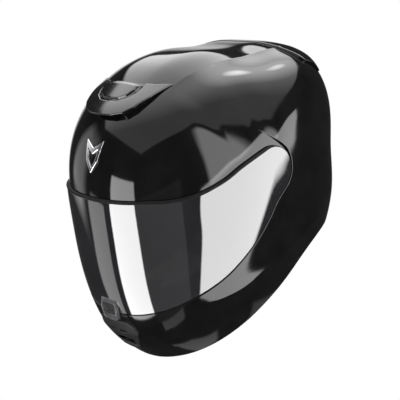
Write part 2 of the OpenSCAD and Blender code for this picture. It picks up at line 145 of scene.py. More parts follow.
def normals(w, depth, h=3e-4):
    """Outward normals of the surface at depth(w)."""
    flat = abs(w[:, :1]) < 0.8
    across = unit(np.cross(w, np.where(flat, [[1.0, 0, 0]], [[0, 0, 1.0]])))
    along = np.cross(w, across)

    def at(v):
        v = unit(v)
        return surface(v, depth(v))

    n = np.cross(at(w + h * across) - at(w - h * across), at(w + h * along) - at(w - h * along))
    return unit(n * np.sign((n * w * [1, -1, 1]).sum(1))[:, None])


# ---- Outlines and distances: negative inside an outline, in mm ----
def through(points, steps=6):
    """A smooth curve through the points."""
    p = np.array([points[0], *points, points[-1]], float)
    t = (np.arange(steps) / steps)[:, None]
    a, b, c, d = p[:-3], p[1:-2], p[2:-1], p[3:]
    spans = [(2 * b[i] + (c[i] - a[i]) * t + (2 * a[i] - 5 * b[i] + 4 * c[i] - d[i]) * t**2
              + (3 * b[i] - a[i] - 3 * c[i] + d[i]) * t**3) / 2 for i in range(len(a))]
    return np.concatenate([*spans, p[-1:]])


def segment_distance(points, outline):
    a = np.asarray(outline, float)
    e = np.roll(a, -1, 0) - a
    square = np.maximum((e * e).sum(1), 1e-12)
    rise = np.where(e[:, 1] == 0, 1e-12, e[:, 1])
    vx, vy = points[:, :1] - a[:, 0], points[:, 1:] - a[:, 1]
    t = np.clip((vx * e[:, 0] + vy * e[:, 1]) / square, 0, 1)
    near = np.sqrt(((vx - e[:, 0] * t) ** 2 + (vy - e[:, 1] * t) ** 2).min(1))
    cross = ((vy < 0) != (vy < e[:, 1])) & (vx < e[:, 0] * vy / rise)
    return np.where(cross.sum(1) % 2, -near, near)


def distance(points, outline):
    """Signed distance from each point to a closed outline: exact near it, and rough far away."""
    outline = np.asarray(outline, float)
    if len(outline) < 40:
        return segment_distance(points, outline)
    out = segment_distance(points, outline[::6])
    near = np.flatnonzero(abs(out) < 12)
    for i in range(0, len(near), 5000):
        part = near[i:i + 5000]
        out[part] = segment_distance(points[part], outline)
    return out


def from_side(p):
    """Points as (forward, up from the pivot)."""
    return np.stack([-p[:, 1], p[:, 2] - PIVOT_Z], 1)


def side_view(outline, turn=0.0, d=2.0):
    """The distance to an outline seen from the side, turned about the pivot."""
    c, s = math.cos(math.radians(turn)), math.sin(math.radians(turn))
    turned = np.asarray(outline, float) @ np.array([[c, s], [-s, c]])
    return lambda w: distance(from_side(surface(w, d)), turned)


def flat_view(outline, d, axes, there):
    """The distance to an outline in two axes, on the part of the surface at depth d that is there."""
    def field(w):
        p = surface(w, d)
        return np.where(there(p), distance(p[:, axes], outline), 99)
    return field


def front_view(outline, d=2.0):
    return flat_view(outline, d, [0, 2], lambda p: p[:, 1] < -60)


def back_view(outline, d=2.0):
    return flat_view(outline, d, [0, 2], lambda p: p[:, 1] > 0)


def plan_view(outline, d=2.0):
    return flat_view(outline, d, [0, 1], lambda p: p[:, 2] > 200)


def halves(points):
    """A whole outline from its left half, which starts and ends on the centreline."""
    p = np.asarray(points, float)
    return np.concatenate([p, (p[::-1] * [-1, 1])[1:-1]])


def rectangle(x0, x1, y0, y1):
    return [[x0, y0], [x1, y0], [x1, y1], [x0, y1]]


def both(*fields):
    """Inside every one of the fields."""
    return lambda w: np.max([f(w) for f in fields], 0)


def outside(field, gap=0.0):
    return lambda w: gap - field(w)


def rounded(s, r):
    """0 at an edge, rising round a quarter circle to 1 at r inside it."""
    return np.sqrt(1 - (1 - np.clip(s / r, 0, 1)) ** 2)


def ramp(s, a, b):
    return np.clip((s - a) / (b - a), 0, 1)


# ---- Patches of the surface ----
def grid(rows, columns):
    return (g.ravel() for g in np.meshgrid(rows, columns, indexing="ij"))


def triangles(rows, columns):
    """Two triangles for each cell of a grid of points."""
    i, j = grid(np.arange(rows - 1), np.arange(columns - 1))
    k = i * columns + j
    far = k + columns + 1
    return np.concatenate([np.stack([k, k + 1, far], 1), np.stack([k, far, far - 1], 1)])


class Patch:
    """Triangles over part of the sphere of directions."""

    def __init__(self, w, faces):
        self.w, self.faces = unit(w), np.asarray(faces)
        a, b, c = (self.w[self.faces[:, i]] for i in range(3))
        wrong = (np.cross(b - a, c - a) * (a + b + c)).sum(1) < 0
        self.faces[wrong] = self.faces[wrong][:, ::-1]

    @classmethod
    def ball(cls, n):
        """The whole sphere, as the six sides of a cube with n cells along each edge."""
        t = np.tan(np.radians(np.linspace(-45, 45, n + 1)))
        side = np.stack(list(grid(t, t)), 1)
        points = [np.insert(side, axis, sign, 1) for axis in range(3) for sign in (-1, 1)]
        faces = [triangles(n + 1, n + 1) + i * len(side) for i in range(6)]
        p, f = np.concatenate(points), np.concatenate(faces)
        _, first, inverse = np.unique(np.round(p, 6), axis=0, return_index=True, return_inverse=True)
        return cls(p[first], inverse.ravel()[f])

    @classmethod
    def window(cls, angles, sides, step):
        """A stretch of angles and turns to the side, with a cell about every step degrees."""
        a = np.linspace(*angles, int((angles[1] - angles[0]) / step) + 1)
        s = np.linspace(*sides, 2 * int((sides[1] - sides[0]) / step / 2) + 1)
        return cls(direction(*grid(a, s)), triangles(len(a), len(s)))

    def copy(self):
        return Patch(self.w, self.faces.copy())

    def cut(self, field, *levels):
        """Adds edges along the lines where the field has each level."""
        value = field(self.w)
        for level in levels:
            f = value - level
            f[abs(f) < 0.02] = 0
            edges = np.sort(self.faces[:, [[0, 1], [1, 2], [2, 0]]].reshape(-1, 2), 1)
            keys, inverse = np.unique(edges[:, 0] * len(f) + edges[:, 1], return_inverse=True)
            a, b = keys // len(f), keys % len(f)
            crossing = f[a] * f[b] < 0
            if not crossing.any():
                continue
            a, b = a[crossing], b[crossing]
            lo, hi, flo, fhi = np.zeros(len(a)), np.ones(len(a)), f[a], f[b]
            for _ in range(5):
                t = lo + (hi - lo) * np.clip(flo / (flo - fhi), 0.05, 0.95)
                new = unit(self.w[a] * (1 - t)[:, None] + self.w[b] * t[:, None])
                g = field(new) - level
                low = g * flo > 0
                lo, flo = np.where(low, t, lo), np.where(low, g, flo)
                hi, fhi = np.where(low, hi, t), np.where(low, fhi, g)
            middle = np.full(len(keys), -1)
            middle[crossing] = len(self.w) + np.arange(len(a))
            m = middle[inverse.reshape(-1, 3)]
            count = (m >= 0).sum(1)
            parts = [self.faces[count == 0]]
            for r in range(3):
                face, mid = np.roll(self.faces, -r, 1), np.roll(m, -r, 1)
                two = (count == 2) & (mid[:, 1] < 0)
                p, q, s = face[two].T
                x, y = mid[two, 0], mid[two, 2]
                parts += [np.stack([p, x, y], 1), np.stack([x, q, s], 1), np.stack([x, s, y], 1)]
                one = (count == 1) & (mid[:, 1] >= 0)
                p, q, s = face[one].T
                x = mid[one, 1]
                parts += [np.stack([p, q, x], 1), np.stack([p, x, s], 1)]
            self.w, self.faces = np.concatenate([self.w, new]), np.concatenate(parts)
            value = np.concatenate([value, np.full(len(new), float(level))])
        return self

    def trim(self, field, *levels):
        """Keeps what is inside the field, with more edges at the levels."""
        self.cut(field, 0.0, *levels)
        inside = field(unit(self.w[self.faces].mean(1))) < 0
        used, inverse = np.unique(self.faces[inside], return_inverse=True)
        self.w, self.faces = self.w[used], inverse.reshape(-1, 3)
        return self


def metres(p):
    return (np.asarray(p) + [0, PIVOT_Y, 0]) * MM


def shade_smooth(mesh):
    mesh.polygons.foreach_set("use_smooth", [True] * len(mesh.polygons))


def to_mesh(name, points, faces, loop_normals=None):
    mesh = bpy.data.meshes.new(name)
    mesh.from_pydata(metres(points).tolist(), [], [list(f) for f in faces])
    shade_smooth(mesh)
    if loop_normals is not None:
        mesh.normals_split_custom_set(np.asarray(loop_normals).tolist())
    return mesh


def wall_normals(top, bottom, edges):
    """One normal for each end of each wall, shared between walls that meet at a shallow angle."""
    a, b = edges.T
    n = unit(np.cross(top[b] - top[a] + 1e-9, bottom[a] - top[a]))
    after, before = {v: i for i, v in enumerate(a)}, {v: i for i, v in enumerate(b)}
    out = np.stack([n, n], 1)
    for end, others in ((0, before), (1, after)):
        pair = np.array([others.get(v, i) for i, v in enumerate(edges[:, end])])
        soft = (n * n[pair]).sum(1) > 0.75
        out[soft, end] = unit(n[soft] + n[pair][soft])
    return out


def plate_mesh(name, patch, top, bottom):
    """A closed solid between two depths, which are numbers or functions of w."""
    upper = top if callable(top) else (lambda w: np.full(len(w), float(top)))
    lower = bottom if callable(bottom) else (lambda w: np.full(len(w), float(bottom)))
    w, faces, count = patch.w, patch.faces, len(patch.w)
    if not len(faces):
        raise ValueError(name + " has no faces")
    t, b = surface(w, upper(w)), surface(w, lower(w))
    half = np.concatenate([faces[:, [0, 1]], faces[:, [1, 2]], faces[:, [2, 0]]])
    key, other = half[:, 0] * count + half[:, 1], half[:, 1] * count + half[:, 0]
    rim = half[~np.isin(key, other)]
    wn = wall_normals(t, b, rim)
    # A face's corners run the other way in this frame, whose y points back.
    tops, bottoms = faces[:, ::-1], faces + count
    walls = np.stack([rim[:, 0], rim[:, 1], rim[:, 1] + count, rim[:, 0] + count], 1)
    nt, nb = normals(w, upper), -normals(w, lower)
    loops = np.concatenate([nt[tops].reshape(-1, 3), nb[faces].reshape(-1, 3),
                            wn[:, [0, 1, 1, 0]].reshape(-1, 3)])
    return to_mesh(name, np.concatenate([t, b]), [*tops.tolist(), *bottoms.tolist(), *walls.tolist()], loops)


MATERIALS = {}


def add_object(name, data):
    obj = bpy.data.objects.new(name, data)
    bpy.context.scene.collection.objects.link(obj)
    return obj


def piece(name, mesh, slot, body="helmet", replaces=()):
    obj = add_object(name, mesh)
    if not mesh.materials:
        mesh.materials.append(MATERIALS[slot])
    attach(obj, body)
    if replaces:
        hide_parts(*replaces)
    return obj


def plate(name, patch, top, bottom, slot, body="helmet", replaces=()):
    return piece(name, plate_mesh(name, patch, top, bottom), slot, body, replaces)


# ---- Materials ----
class Nodes:
    """Adds nodes to a tree."""

    def __init__(self, tree):
        self.tree = tree

    def put(self, node, name, value):
        if isinstance(value, bpy.types.NodeSocket):
            self.tree.links.new(value, node.inputs[name])
        else:
            node.inputs[name].default_value = value

    def node(self, kind, inputs=(), **settings):
        node = self.tree.nodes.new(kind)
        for name, value in settings.items():
            setattr(node, name, value)
        for name, value in dict(inputs).items():
            self.put(node, name, value)
        return node

    def math(self, kind, a, b):
        return self.node("ShaderNodeMath", {0: a, 1: b}, operation=kind).outputs[0]

    def span(self, value, low, high, a=0.0, b=1.0):
        """The value, clamped between a and b and spread from low to high."""
        inputs = {"Value": value, "From Min": a, "From Max": b, "To Min": low, "To Max": high}
        return self.node("ShaderNodeMapRange", inputs).outputs[0]


class Look(Nodes):
    """A Principled material and the nodes that vary it."""

    def __init__(self, slot, **sockets):
        MATERIALS[slot] = bpy.data.materials.new(slot)
        MATERIALS[slot].use_nodes = True
        super().__init__(MATERIALS[slot].node_tree)
        self.shader = self.tree.nodes["Principled BSDF"]
        for name, value in sockets.items():
            self.put(self.shader, name.replace("_", " "), value)

    def place(self, stretch=(1, 1, 1), uv=False):
        where = self.node("ShaderNodeTexCoord").outputs["UV" if uv else "Object"]
        return self.node("ShaderNodeMapping", {"Vector": where, "Scale": stretch}).outputs[0]

    def noise(self, scale, detail=3.0, stretch=(1, 1, 1), uv=False):
        inputs = {"Vector": self.place(stretch, uv), "Scale": scale, "Detail": detail}
        return self.node("ShaderNodeTexNoise", inputs).outputs["Fac"]

    def cells(self, scale, output="Distance", feature="F1"):
        inputs = {"Vector": self.place(), "Scale": scale}
        return self.node("ShaderNodeTexVoronoi", inputs, feature=feature).outputs[output]

    def wave(self, scale, axis, uv=False):
        inputs = {"Vector": self.place(uv=uv), "Scale": scale}
        return self.node("ShaderNodeTexWave", inputs, bands_direction=axis).outputs["Fac"]

    def colours(self, value, first, second, a=0.35, b=0.65):
        ramp_node = self.node("ShaderNodeValToRGB", {"Fac": value})
        for element, at, colour in zip(ramp_node.color_ramp.elements, (a, b), (first, second)):
            element.position, element.color = at, (*colour, 1)
        self.put(self.shader, "Base Color", ramp_node.outputs[0])
        return self

    def rough(self, value, low, high):
        self.put(self.shader, "Roughness", self.span(value, low, high))
        return self

    def bump(self, height, depth, strength=1.0):
        """A relief whose height is depth, in metres."""
        node = self.node("ShaderNodeBump", {"Height": height, "Distance": depth, "Strength": strength})
        self.put(self.shader, "Normal", node.outputs[0])
        return self


def noisy(slot, mottle, dark, light, wear, roughness, grain, relief_size, **sockets):
    """A look with a noise in its colour, its roughness and its relief, each (scale, detail, stretch)."""
    look = Look(slot, **sockets)
    look.colours(look.noise(*mottle), dark, light)
    look.rough(look.noise(*wear), *roughness).bump(look.noise(*grain), *relief_size)


def make_materials():
    noisy("shell_gloss", (40, 4), (0.005, 0.005, 0.0055), (0.008, 0.008, 0.0085),
          (220, 6), (0.03, 0.1), (350, 2), (0.00002, 0.25), IOR=1.4, Coat_Weight=0.35, Coat_Roughness=0.02)
    noisy("vent_gloss", (90, 4), (0.006, 0.006, 0.0065), (0.011, 0.011, 0.0115),
          (400, 5), (0.08, 0.2), (900, 2), (0.00002, 0.3), Coat_Weight=0.8, Coat_Roughness=0.05)
    noisy("visor_smoke", (25, 3), (0.017, 0.017, 0.019), (0.022, 0.022, 0.025),
          (300, 6), (0.01, 0.05), (60, 1), (0.00002, 0.03),
          IOR=2.1, Coat_Weight=1.0, Coat_Roughness=0.01, Alpha=0.93)
    noisy("seal_rubber", (120, 4), (0.005, 0.005, 0.005), (0.01, 0.01, 0.01),
          (350, 4), (0.45, 0.7), (1400, 3), (0.00005, 0.4), Specular_IOR_Level=0.2)
    noisy("trim_rubber", (90, 5), (0.13, 0.13, 0.135), (0.2, 0.2, 0.205),
          (400, 4), (0.35, 0.55), (1100, 3), (0.00005, 0.35))
    noisy("tab_grey", (160, 4), (0.08, 0.08, 0.085), (0.13, 0.13, 0.135),
          (500, 4), (0.18, 0.34), (1200, 2), (0.00003, 0.3), Coat_Weight=0.6, Coat_Roughness=0.08)
    noisy("badge_chrome", (300, 5), (0.68, 0.68, 0.7), (0.84, 0.84, 0.86),
          (600, 5, (1, 8, 1)), (0.06, 0.24), (900, 2), (0.00001, 0.3), Metallic=1.0)
    noisy("steel", (200, 6), (0.42, 0.42, 0.43), (0.66, 0.66, 0.67),
          (700, 5, (1, 10, 1)), (0.18, 0.45), (900, 4, (1, 10, 1)), (0.00003, 0.4), Metallic=1.0)
    noisy("thread", (900, 4), (0.13, 0.13, 0.14), (0.26, 0.26, 0.27),
          (700, 3), (0.6, 0.85), (2500, 2), (0.0001, 0.5), Sheen_Weight=0.4)
    look = Look("matte_black", Specular_IOR_Level=0.35)
    look.colours(look.noise(160, 5), (0.007, 0.007, 0.0075), (0.014, 0.014, 0.0145))
    look.rough(look.noise(500, 4), 0.38, 0.62).bump(look.cells(1600), 0.00008, 0.5)
    look = Look("lever_red", Coat_Weight=0.3)
    look.colours(look.noise(130, 5), (0.3, 0.012, 0.009), (0.5, 0.025, 0.016))
    look.rough(look.noise(500, 4), 0.25, 0.5).bump(look.cells(1500), 0.00005, 0.3)
    look = Look("impact_foam")
    beads = look.cells(260, "Distance", "SMOOTH_F1")
    look.colours(look.cells(260, "Color"), (0.02, 0.02, 0.022), (0.04, 0.04, 0.043))
    look.rough(look.noise(200, 3), 0.75, 0.95).bump(beads, 0.0006, 0.7)
    look = Look("comfort_fabric", Sheen_Weight=0.6, Sheen_Roughness=0.45)
    rows = look.math("MULTIPLY", look.wave(220, "X"), look.wave(220, "Z"))
    knit = look.math("ADD", rows, look.math("MULTIPLY", look.wave(220, "Y"), 0.5))
    mottle = look.math("ADD", look.math("MULTIPLY", knit, 0.6), look.math("MULTIPLY", look.noise(60, 5), 0.5))
    look.colours(mottle, (0.026, 0.026, 0.03), (0.075, 0.075, 0.082), 0.2, 0.9)
    look.rough(look.noise(300, 4), 0.8, 1.0).bump(knit, 0.0004, 0.8)
    look = Look("curtain_fabric", Sheen_Weight=0.4, Sheen_Roughness=0.5)
    weave = look.math("MAXIMUM", look.wave(380, "X"), look.wave(380, "Y"))
    mottle = look.math("MULTIPLY", weave, look.noise(90, 4))
    look.colours(mottle, (0.012, 0.012, 0.013), (0.035, 0.035, 0.038), 0.2, 0.7)
    look.rough(look.noise(300, 4), 0.7, 0.95).bump(weave, 0.0003, 0.7)
    look = Look("webbing", Sheen_Weight=0.3, Sheen_Roughness=0.4)
    ribs = look.math("MULTIPLY", look.wave(0.5, "X", True), look.wave(0.35, "Y", True))
    mottle = look.math("ADD", ribs, look.math("MULTIPLY", look.noise(0.3, 4, uv=True), 0.4))
    look.colours(mottle, (0.008, 0.008, 0.009), (0.03, 0.03, 0.032), 0.15, 0.95)
    look.rough(look.noise(1.0, 4, uv=True), 0.6, 0.85).bump(ribs, 0.0004, 0.9)


make_materials()

# ---- Outlines, which follow the CAD model's ----
# From the side, in (forward, up from the pivot).
UPPER = through([[215, 72], [165, 52], [143, 45], [127, 39.5], [112, 33.5], [94, 29], [76, 27], [56, 26.6],
                 [36, 28], [18, 27.4], [0, 26]])
LOWER = through([[-6, -25.4], [4, -28.6], [14, -32.6], [27, -40.5], [42, -48], [58, -55], [76, -61],
                 [98, -67], [120, -70.5], [145, -73.5], [182, -78], [215, -82]])
PORT = through([[215, 42], [160, 34], [126, 25], [112, 19.5], [94, 15.5], [77, 14], [60, 13], [47, 7],
                [39, -6], [41, -20], [52, -33], [74, -45], [98, -53], [117, -56], [140, -59], [166, -61],
                [215, -64]])
ROUND_END = direction(np.linspace(96, 250, 32), 0)[:, 1:] * 26
VISOR = np.concatenate([UPPER, ROUND_END, LOWER])
CIRCLE = direction(np.linspace(0, 355, 72), 0)[:, 1:]
# From above, in (left, y).
COWL = halves([[0, -89], [16, -88], [30, -83], [39, -74], [48, -56], [57, -30], [41, -40], [22, -45],
               [0, -46]])
SLIDER = halves([[0, -73], [13, -72], [23, -66], [29, -57], [30, -47], [0, -46]])
# From the front, in (left, z).
CHIN_VENT = halves([[0, 66], [22, 66], [28, 61], [31, 52], [23, 36], [14, 21], [0, 20]])
TAB = [[-12, 91], [12, 91], [14, 84], [11, 69], [-11, 69], [-14, 84]]

in_visor = side_view(VISOR)
in_port = side_view(PORT)


def above_edge(w):
    """Negative above the line where the shell's lower edge is cut."""
    p = surface(w, 0.0)
    angle = np.degrees(np.arctan2(p[:, 2] - PIVOT_Z, -p[:, 1])) % 360 - 360
    return np.where((angle < -15) & (angle > -165), edge_z(angle) + TRIM_H - p[:, 2], -20)


# ---- The shell ----
def flush(a):
    """How far the shell's outside has risen from the recess, from 0 to 1, at an angle about the pivot."""
    a = a % 360
    return np.where(a < 90, 1 - ease(a, 0, 15), np.where(a < 270, ease(a, 95, 140), 1.0))


def inner_flush(a):
    """The same for its inside, which follows more slowly."""
    a = a % 360
    return np.where(a < 90, 0, np.where(a < 270, ease(a, 125, 165), 1 - ease(a, 290, 330)))


VISOR_TURNS = (0, 28, 56)
STEP_RUN, STEP_ROUND = 0.06, 0.9
EDGE_ROOM, BEAD_ROOM = 0.8, 2.8
swept = [side_view(VISOR, turn) for turn in VISOR_TURNS]


def step(w):
    """How far a point lies beyond the recess that the visor and its bead turn in."""
    a = angle_of(w) % 360
    room = EDGE_ROOM + BEAD_ROOM * (1 - ease(a, 125, 215))
    return np.min([field(w) for field in swept], 0) - room


def shell_top(w):
    s = step(w)
    wall, round_edge = ramp(s, 0, STEP_RUN), rounded(s - STEP_RUN, STEP_ROUND)
    level = flush(angle_of(w)) * ((FLUSH - STEP_ROUND) * wall + STEP_ROUND * round_edge)
    return level - 1.0 * (1 - rounded(in_port(w), 1.0))


def shell_bottom(w):
    return -SHELL_T + FLUSH * inner_flush(angle_of(w))


def make_shell():
    patch = Patch.ball(72)
    patch.trim(outside(in_port), -0.15, -0.5, -1.0, -1.3).trim(above_edge)
    patch.trim(outside(side_view(CIRCLE * POCKET_R)))
    for x in (-11, 0, 11):
        patch.trim(outside(plan_view(rectangle(x - 3.5, x + 3.5, -79.5, -72.5))))
    patch.trim(outside(front_view(rectangle(-17, 17, 27, 41))))
    patch.trim(outside(back_view(rectangle(-25, 25, 188, 196), 0)))
    patch.cut(step, -0.15, 0.0, STEP_RUN, 0.15, 0.35, 0.65, 0.96, 1.2)
    patch.cut(lambda w: surface(w, 0.0)[:, 2] - jaw_line(surface(w, 0.0)[:, 1]), -3, -1, 0, 1, 3)

    def from_crown_line(w):
        p = raw(w, 0.0)
        return np.where(p[:, 2] > 185, abs(p[:, 0]) - crown_line(p[:, 1]), -50)
    patch.cut(from_crown_line, -0.6, 0.0, 1.2, 3.0)
    plate("shell", patch, shell_top, shell_bottom, "shell_gloss", replaces=["outer_shell"])


make_shell()


# ---- The visor ----
def visor_top(w):
    return LENS_OUT - 0.7 * (1 - rounded(-in_visor(w), 0.7))


ball = Patch.ball(72)
lens = ball.copy().trim(in_visor, -0.08, -0.3, -0.7, -0.9)
plate("visor_lens", lens, visor_top, LENS_IN, "visor_smoke", "visor_set", ["visor"])

BEAD_IN, BEAD_FROM, BEAD_TO = 0.45, 5, 128


def bead_width(w):
    """How far the bead on the visor's upper edge stands out beyond it: less towards the round ends."""
    return 0.2 + 2.4 * (1 - ease(angle_of(w) % 360, 75, 150))


def bead_field(w):
    s, a = in_visor(w), angle_of(w) % 360
    ends = np.where((a > BEAD_FROM) & (a < BEAD_TO), -9, 9)
    return np.max([s - bead_width(w), -BEAD_IN - s, ends], 0)


def bead_top(w):
    half = (bead_width(w) + BEAD_IN) / 2
    t = np.clip((in_visor(w) + BEAD_IN) / half - 1, -1, 1)
    return 1.2 + 2.5 * np.sqrt(np.maximum(0, 1 - t * t))


bead_patch = ball.copy().trim(bead_field)
bead_patch.cut(in_visor, -0.3, 0, 0.5, 1.0, 1.5, 2.0, 2.4)
plate("visor_bead", bead_patch, bead_top, 1.0, "seal_rubber", "visor_set")

TAB_RIM = 3.4
in_tab = front_view(TAB, LENS_OUT)


def tab_top(w):
    p = surface(w, LENS_OUT)
    rise = 0.45 + 0.55 * ease(p[:, 2], 92, 76)
    s = -in_tab(w)
    section = np.interp(s, [0, 0.3, 1.3, 2.3, 2.6, TAB_RIM], [1.2, 2.4, 5.6, 5.7, 5.2, 2.6])
    return LENS_OUT + 0.2 + rise * section


tab = Patch.window((-40, -18), (-12, 12), 0.5).trim(in_tab, -0.3, -1.3, -2.3, -2.6, -TAB_RIM)
rim = tab.copy().trim(outside(in_tab, -TAB_RIM))
plate("lift_tab", rim, tab_top, LENS_OUT + 0.02, "tab_grey", "visor_set", ["visor_lift_tab"])
tab.trim(lambda w: in_tab(w) + TAB_RIM - 0.05)
tab.cut(lambda w: surface(w, 5)[:, 2], 74, 75, 80, 81)


def tab_well(w):
    z = surface(w, 5.0)[:, 2]
    return tab_top(w) - 0.3 - 0.9 * ramp(z, 75, 74) + 0.7 * ramp(z, 80, 81)


plate("lift_tab_grip", tab, tab_well, LENS_OUT + 0.02, "matte_black", "visor_set")


# ---- What is fixed on the shell ----
def seal_field(w):
    flat = from_side(surface(w, 0.4))
    cover = np.minimum(distance(flat, VISOR), distance(flat - [0, 2.4], VISOR))
    return np.max([cover, -1.2 - distance(flat, PORT), POCKET_R + 1 - np.hypot(*flat.T), 10 - flat[:, 0]], 0)


seal = Patch.ball(60).trim(seal_field)
seal.cut(in_port, -0.8, -0.3, 0.3, 1.0)
plate("eyeport_seal_lip", seal, lambda w: 0.75 - 0.9 * (1 - rounded(in_port(w) + 1.25, 1.3)),
      lambda w: shell_top(w) + 0.04, "seal_rubber", replaces=["eyeport_seal"])

BADGE = halves([[0, 224], [9, 234], [14, 251], [0, 245]])
BADGE_HOLE = halves([[0, 229], [5, 235], [8, 244], [0, 240]])
in_badge = both(front_view(BADGE, 1), outside(front_view(BADGE_HOLE, 1)))
badge = Patch.window((15, 55), (-14, 14), 0.5).trim(in_badge, -0.25, -0.6, -1.0)
plate("brow_chevron", badge, lambda w: 1.7 - 0.9 * (1 - rounded(-in_badge(w), 1.0)), 0.1, "badge_chrome",
      replaces=["brow_badge"])

in_cowl = plan_view(COWL, 3)
in_slider = plan_view(SLIDER, 3)
slider_moves = [plan_view(SLIDER + [0, move], 3) for move in (0, 2, 4, 6)]


def in_well(w):
    """The well that the slider moves in."""
    return np.min([field(w) for field in slider_moves], 0) - 0.6


def cowl_lift(w):
    return 6.6 * ease(angle_of(w), 78, 52)


def cowl_top(w):
    s, well = -in_cowl(w), in_well(w)
    high = 1.4 + cowl_lift(w) - 0.9 * (1 - rounded(s, 1.1)) - 0.45 * (1 - rounded(well, 0.6))
    return np.where(well > 0.03, high, 1.5 + (high - 1.5) * ramp(well, 0, 0.03))


def cowl_bottom(w):
    p = surface(w, 3.0)
    hood = ramp(p[:, 1], -83.6, -84) * ramp(abs(abs(p[:, 0]) - 13), 0.8, 1.0)
    return 0.12 + np.maximum(0, cowl_lift(w) - 0.5) * hood


cowl = Patch.window((25, 80), (-36, 36), 0.6).trim(in_cowl, -0.1, -0.4, -1.1)
cowl.cut(in_well, 0, 0.03, 0.2, 0.6)
cowl.cut(lambda w: surface(w, 3)[:, 1], -84, -83.6)
cowl.cut(lambda w: abs(abs(surface(w, 3)[:, 0]) - 13), 0.8, 1.0)
plate("top_vent_hood", cowl, cowl_top, cowl_bottom, "vent_gloss", replaces=["top_vent_cowl"])

slider = Patch.window((35, 70), (-22, 22), 0.5).trim(in_slider, -0.5, -0.7, -2.4, -2.6, -3.6, -3.9)
SLIDER_BASE = 2.8


def slider_top(w):
    return SLIDER_BASE + np.interp(-in_slider(w), [0, 0.6, 2.4, 2.6, 3.7, 5], [0.7, 1.7, 1.9, 2.1, 3.4, 3.6])


plate("top_vent_slide", slider, slider_top, SLIDER_BASE, "vent_gloss", "top_vent_slide_body",
      ["top_vent_slider"])

in_housing = front_view(CHIN_VENT, 4)
housing_hole = front_view(rectangle(-16, 16, 28, 40), 4)
housing_slots = [front_view(rectangle(x - 4.5, x + 4.5, 49.7, 52.3), 4) for x in (-9, 9)]
housing = Patch.window((-62, -22), (-20, 20), 0.5).trim(in_housing, -0.1, -0.5, -1.3)
housing.trim(outside(housing_hole), -0.4, -1.5)
for slot in housing_slots:
    housing.trim(outside(slot), -0.3, -0.8)


def housing_top(w):
    edge = 1.3 * (1 - rounded(-in_housing(w), 1.4))
    holes = 1.4 * ramp(housing_hole(w), 1.5, 0) + 0.6 * ramp(np.min([s(w) for s in housing_slots], 0), 0.8, 0)
    return np.maximum(FLUSH + 0.5, FLUSH + 2.6 - edge - holes)


plate("chin_vent_frame", housing, housing_top, FLUSH + 0.1, "matte_black", replaces=["chin_vent_housing"])
grille = Patch.window((-44, -24), (-10, 10), 0.6).trim(front_view(rectangle(-16.5, 16.5, 27.5, 40.5)))
for x in np.arange(-4, 5) * 3.4:
    for z in (31, 37):
        grille.trim(outside(front_view(rectangle(x - 1.2, x + 1.2, z - 2.4, z + 2.4))))
plate("chin_vent_grille", grille, -1.4, -2.4, "matte_black", replaces=["chin_vent_mesh"])

in_spoiler = side_view([[-120, 51], [-120, 96], [-200, 96], [-200, 36], [-140, 36]], 0, 4)
outlet = back_view(rectangle(-28, 28, 194.5, 203.5), 4)


def spoiler_field(w):
    return np.max([in_spoiler(w), abs(surface(w, 4.0)[:, 0]) - 92, -outlet(w)], 0)


def spoiler_top(w):
    a = angle_of(w) % 360
    lift = FLUSH + 0.4 + 3 * ease(a, 138, 156) * (1 - ease(a, 157, 172))
    return np.maximum(FLUSH + 0.2, lift - 0.9 * (1 - rounded(-spoiler_field(w), 1.2)))


spoiler = Patch.window((125, 190), (-72, 72), 0.9).trim(spoiler_field, -0.1, -0.5, -1.2)
plate("rear_spoiler_wing", spoiler, spoiler_top, FLUSH + 0.08, "shell_gloss", replaces=["rear_spoiler"])

# ---- The lining ----
CHIN_FOAM = [[42, -132], [42, -62], [60, -58], [120, -68], [150, -72], [220, -72], [220, -138], [90, -138]]
CHIN_FOAM_OUT, CHIN_FOAM_IN = -5.8, -25.8
in_chin_foam, port_in_foam = side_view(CHIN_FOAM, 0, -8), side_view(PORT, 0, -8)
chin_vent_hole = front_view(rectangle(-18, 18, 26.5, 53.5), -8)


def chin_foam_field(w):
    return np.max([in_chin_foam(w), 4 - port_in_foam(w), -chin_vent_hole(w)], 0)


def chin_foam_edge(w):
    return 1.6 * (1 - rounded(-chin_foam_field(w), 2))


plate("chin_foam", Patch.ball(44).trim(chin_foam_field, -1, -2), lambda w: CHIN_FOAM_OUT - chin_foam_edge(w),
      lambda w: CHIN_FOAM_IN + chin_foam_edge(w), "impact_foam", replaces=["chin_liner"])

SIDE_FOAM = [[-220, -106.7], [30, -106.7], [30, -4], [220, -4], [220, 250], [-220, 250]]
in_side_foam, port_in_crown = side_view(SIDE_FOAM, 0, -20), side_view(PORT, 0, -20)


def foam_field(w):
    return np.maximum(in_side_foam(w), 3 - port_in_crown(w))


def round_boss(w):
    return np.hypot(*from_side(surface(w, -8.0)).T) - 34.5


foam = Patch.ball(44).trim(foam_field, -1, -3)
foam.cut(round_boss, 0, 0.3)
plate("crown_foam", foam, lambda w: FOAM_OUT - 7.6 * ramp(round_boss(w), 0.3, 0),
      lambda w: FOAM_IN + 2.5 * (1 - rounded(-foam_field(w), 3)), "impact_foam", replaces=["impact_liner"])

GUARD = [[46, 87], [40, 97], [22, 103], [10, 110], [-10, 110], [-22, 103], [-40, 97], [-46, 87]]
in_guard = front_view(through([GUARD[-1], *GUARD], 4), -13)


def guard_top(w):
    s = -in_guard(w)
    return -12.6 + 0.6 * rounded(s, 1) - 0.5 * ramp(s, 3, 4)


guard = Patch.window((-34, -8), (-42, 42), 0.8).trim(in_guard, -0.1, -0.4, -1, -3, -4)
plate("breath_flap", guard, guard_top, -14.6, "matte_black", replaces=["breath_guard"])


